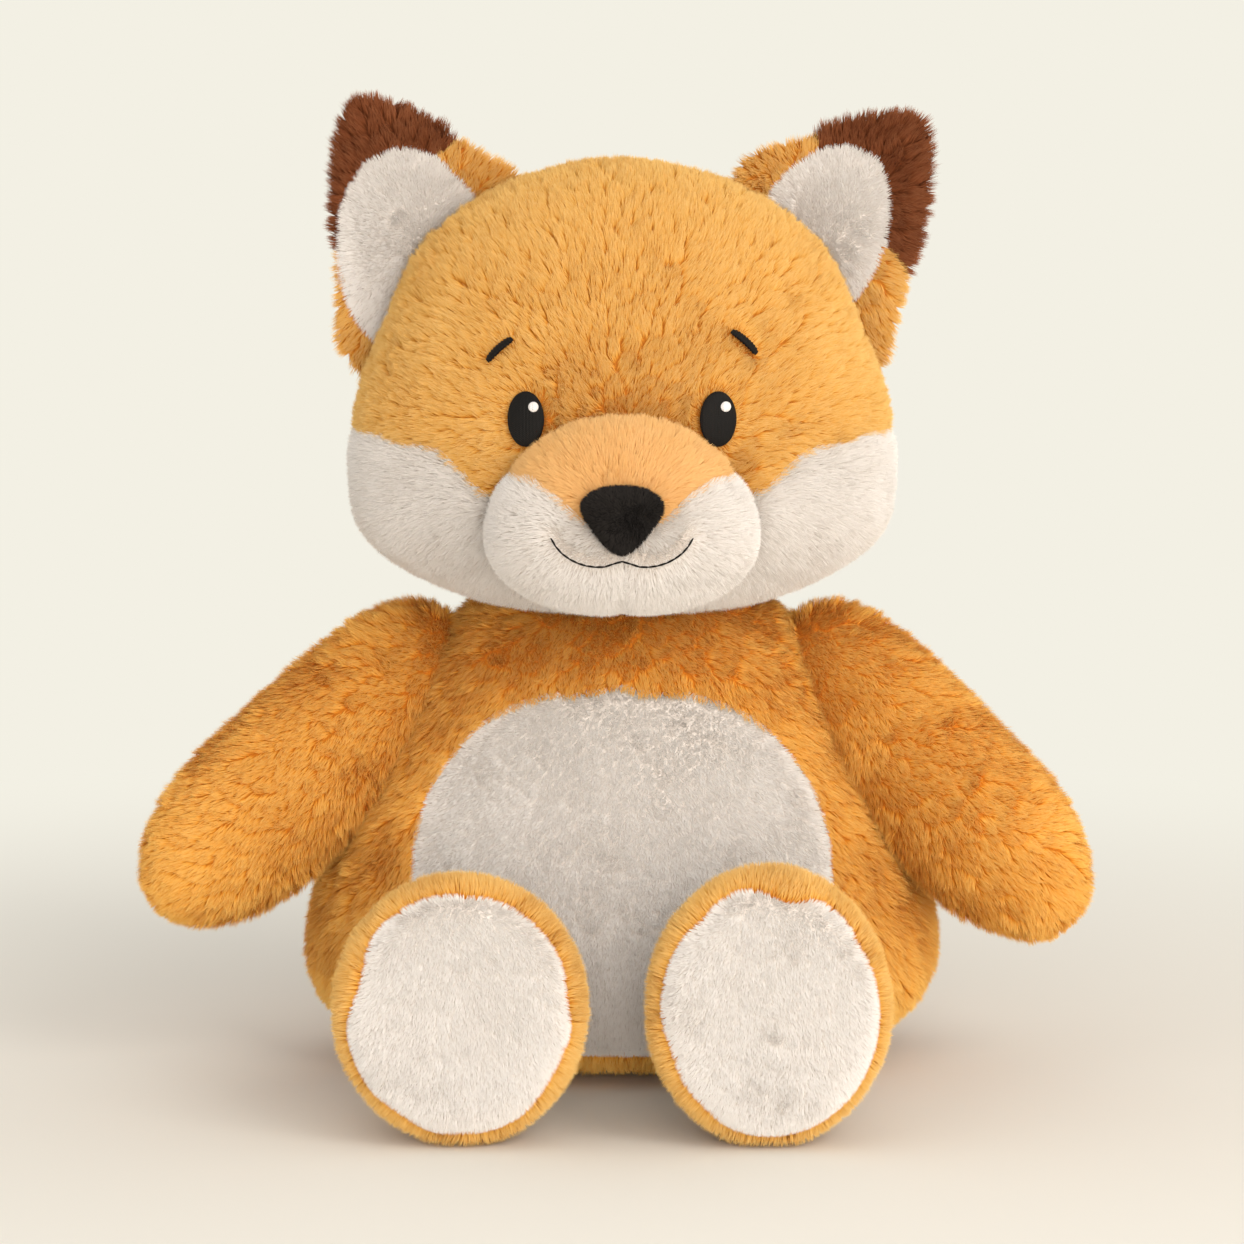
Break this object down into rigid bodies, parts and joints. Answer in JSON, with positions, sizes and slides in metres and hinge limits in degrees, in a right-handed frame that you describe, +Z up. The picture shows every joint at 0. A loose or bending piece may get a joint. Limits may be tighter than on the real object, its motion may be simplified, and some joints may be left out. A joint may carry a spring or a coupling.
{
  "type": "plush fox toy",
  "caption": "Sitting plush fox with a round head, upright ears, white belly and soles, and a short tail, sewn from panels over stuffing.",
  "frame": {"origin": "on the floor under the middle of the toy", "axes": "+Z up, the fox faces -Y, its own left side is at +X"},
  "size_m": [0.3215, 0.3172, 0.3304],
  "materials": {
    "orange_plush": "orange short-pile plush, matt",
    "light_orange_plush": "light orange short-pile plush, matt",
    "white_plush": "warm white short-pile plush, matt",
    "brown_plush": "dark brown short-pile plush, matt",
    "polyester_fibre": "loose white polyester fibre",
    "pellet_bag_cloth": "woven cotton bag of plastic pellets",
    "black_felt": "black felt, matt",
    "black_thread": "black satin-stitched thread, slight sheen",
    "white_thread": "white satin-stitched thread"
  },
  "bodies": {
    "torso": {"body_front_panel": "orange_plush", "body_back_panel": "orange_plush", "belly_panel": "white_plush", "seat_panel": "orange_plush", "body_stuffing": "polyester_fibre", "pellet_bag": "pellet_bag_cloth"},
    "head": {"face_panel": "orange_plush", "head_back_panel": "orange_plush", "cheek_left": "white_plush", "cheek_right": "white_plush", "head_stuffing": "polyester_fibre", "muzzle_bridge": "light_orange_plush", "muzzle_lobe_left": "white_plush", "muzzle_lobe_right": "white_plush", "muzzle_stuffing": "polyester_fibre", "nose": "black_felt", "mouth_line": "black_thread", "eye_left": "black_thread", "eye_right": "black_thread", "eye_glint_left": "white_thread", "eye_glint_right": "white_thread", "brow_left": "black_thread", "brow_right": "black_thread"},
    "ear_left": {"ear_back_left": "orange_plush", "ear_tip_left": "brown_plush", "ear_lining_left": "white_plush"},
    "arm_left": {"arm_sleeve_left": "orange_plush", "arm_stuffing_left": "polyester_fibre"},
    "leg_left": {"leg_sleeve_left": "orange_plush", "sole_left": "white_plush", "leg_stuffing_left": "polyester_fibre"},
    "ear_right": {"ear_back_right": "orange_plush", "ear_tip_right": "brown_plush", "ear_lining_right": "white_plush"},
    "arm_right": {"arm_sleeve_right": "orange_plush", "arm_stuffing_right": "polyester_fibre"},
    "leg_right": {"leg_sleeve_right": "orange_plush", "sole_right": "white_plush", "leg_stuffing_right": "polyester_fibre"},
    "tail": {"tail_sleeve": "orange_plush", "tail_tip": "white_plush", "tail_stuffing": "polyester_fibre"}
  },
  "joints": [
    {"name": "neck_turn", "type": "hinge", "parent": "torso", "child": "head", "pos_m": [0, -0.01, 0.16], "axis": [0, 0, 1], "range_deg": [-40, 40], "stiffness_Nm_per_rad": 0.5},
    {"name": "ear_left_bend", "type": "hinge", "parent": "head", "child": "ear_left", "pos_m": [0.06612, -0.01, 0.27565], "axis": [0.5893, 0, -0.8079], "range_deg": [-12, 12], "stiffness_Nm_per_rad": 0.1},
    {"name": "ear_right_bend", "type": "hinge", "parent": "head", "child": "ear_right", "pos_m": [-0.06612, -0.01, 0.27565], "axis": [0.5893, 0, 0.8079], "range_deg": [-12, 12], "stiffness_Nm_per_rad": 0.1},
    {"name": "shoulder_left", "type": "hinge", "parent": "torso", "child": "arm_left", "pos_m": [0.06982, -0.00548, 0.13838], "axis": [0, -1, 0], "range_deg": [0, 60], "stiffness_Nm_per_rad": 0.2},
    {"name": "shoulder_right", "type": "hinge", "parent": "torso", "child": "arm_right", "pos_m": [-0.06982, -0.00548, 0.13838], "axis": [0, 1, 0], "range_deg": [0, 60], "stiffness_Nm_per_rad": 0.2},
    {"name": "hip_left", "type": "hinge", "parent": "torso", "child": "leg_left", "pos_m": [0.04636, -0.0683, 0.04253], "axis": [-1, 0, 0], "range_deg": [-20, 20], "stiffness_Nm_per_rad": 1},
    {"name": "hip_right", "type": "hinge", "parent": "torso", "child": "leg_right", "pos_m": [-0.05114, -0.06665, 0.04253], "axis": [-1, 0, 0], "range_deg": [-20, 20], "stiffness_Nm_per_rad": 1},
    {"name": "tail_swing", "type": "hinge", "parent": "torso", "child": "tail", "pos_m": [0, 0.07543, 0.044], "axis": [0, 0, 1], "range_deg": [-25, 25], "stiffness_Nm_per_rad": 0.3}
  ]
}
